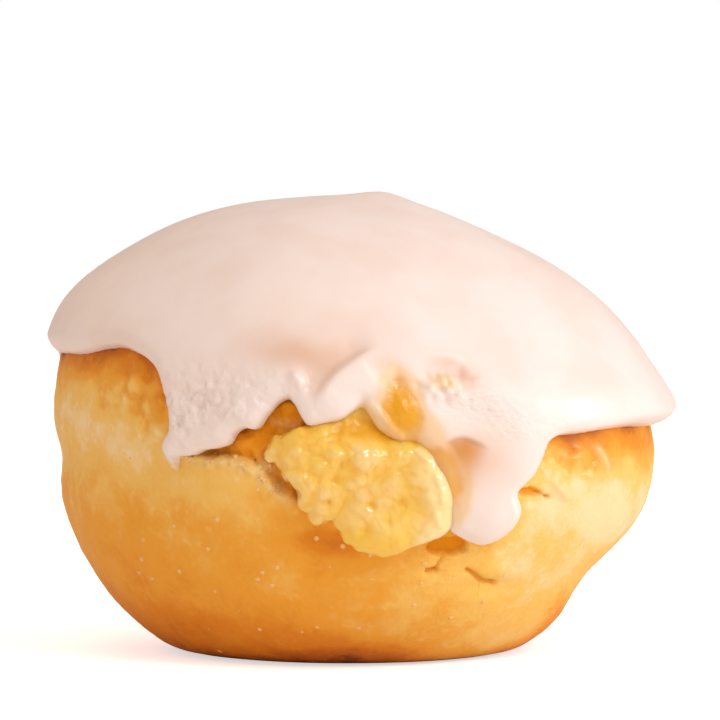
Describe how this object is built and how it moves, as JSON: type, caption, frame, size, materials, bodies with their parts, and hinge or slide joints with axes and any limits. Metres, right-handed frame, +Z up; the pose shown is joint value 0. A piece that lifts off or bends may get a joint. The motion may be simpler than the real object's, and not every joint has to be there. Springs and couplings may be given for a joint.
{
  "type": "mini custard berliner",
  "caption": "Small round fried bun on a flat base, with a cap of set sugar icing that runs down in drips, and custard filling spilling from a torn mouth in its side.",
  "frame": {"origin": "on the flat base, under the middle of the bun", "axes": "+Z up out of the icing, -Y out of the torn mouth, +X to the right as seen from the mouth"},
  "size_m": [0.0599, 0.0625, 0.0433],
  "materials": {
    "dough": "golden fried crust, slightly greasy",
    "icing": "satin set sugar icing",
    "custard": "wet, lumpy egg custard"
  },
  "bodies": {
    "root": {"bun": "dough", "icing": "icing", "custard": "custard"}
  },
  "joints": []
}
